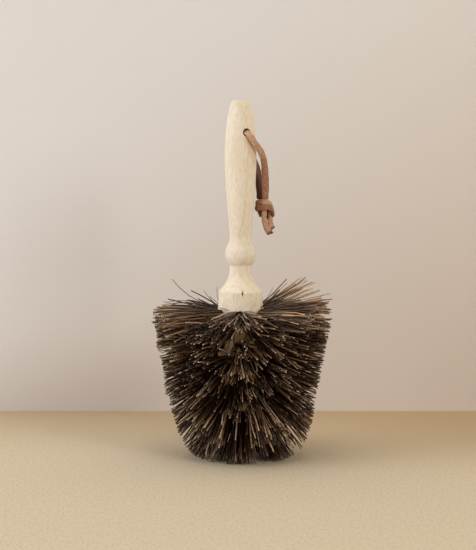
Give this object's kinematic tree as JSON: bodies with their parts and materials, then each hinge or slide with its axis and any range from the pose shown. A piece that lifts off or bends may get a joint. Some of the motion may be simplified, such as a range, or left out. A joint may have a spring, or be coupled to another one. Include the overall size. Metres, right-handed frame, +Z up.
{
  "type": "flowerpot brush",
  "caption": "Standing flowerpot brush: turned pale wood handle, stiff dark plant-fibre bristles all round and below, trimmed to a pot's shape, and a knotted leather hanging lace.",
  "frame": {"origin": "on the surface the brush stands on, at the turned body's axis", "axes": "+Z up along the turned body's axis, from the bristle tips to the handle's end; -Y towards the viewer of the picture; +X to the viewer's right, where the lace hangs"},
  "size_m": [0.1271, 0.1296, 0.25],
  "materials": {
    "birch": "bare fine-sanded",
    "bristle": "satin plant fibre",
    "leather": "matt, raw edges",
    "wire": "drawn"
  },
  "bodies": {
    "brush": {"wooden_body": "birch", "bristles_upper": "bristle", "bristles_middle": "bristle", "bristles_lower": "bristle", "bristles_end": "bristle", "tuft_staple_01": "wire", "tuft_staple_02": "wire", "tuft_staple_03": "wire", "tuft_staple_04": "wire", "tuft_staple_05": "wire", "tuft_staple_06": "wire", "tuft_staple_07": "wire", "tuft_staple_08": "wire", "tuft_staple_09": "wire", "tuft_staple_10": "wire", "tuft_staple_11": "wire", "tuft_staple_12": "wire", "tuft_staple_13": "wire", "tuft_staple_14": "wire", "tuft_staple_15": "wire", "tuft_staple_16": "wire", "tuft_staple_17": "wire", "tuft_staple_18": "wire", "tuft_staple_19": "wire", "tuft_staple_20": "wire", "tuft_staple_21": "wire", "tuft_staple_22": "wire", "tuft_staple_23": "wire", "tuft_staple_24": "wire", "tuft_staple_25": "wire", "tuft_staple_26": "wire", "tuft_staple_27": "wire", "tuft_staple_28": "wire", "tuft_staple_29": "wire", "tuft_staple_30": "wire", "tuft_staple_31": "wire", "tuft_staple_32": "wire", "tuft_staple_33": "wire", "tuft_staple_34": "wire", "tuft_staple_35": "wire", "tuft_staple_36": "wire", "tuft_staple_37": "wire", "tuft_staple_38": "wire", "tuft_staple_39": "wire", "tuft_staple_40": "wire", "tuft_staple_41": "wire", "tuft_staple_42": "wire", "tuft_staple_43": "wire"},
    "hanging_loop": {"lace_hole_run": "leather", "lace_front_strand": "leather", "lace_back_strand": "leather", "lace_knot": "leather", "lace_long_tail": "leather", "lace_short_tail": "leather"}
  },
  "joints": [
    {"name": "loop_swing", "type": "hinge", "parent": "brush", "child": "hanging_loop", "pos_m": [0, 0, 0.228], "axis": [0.4226, -0.9063, 0], "range_deg": [0, 290]}
  ]
}
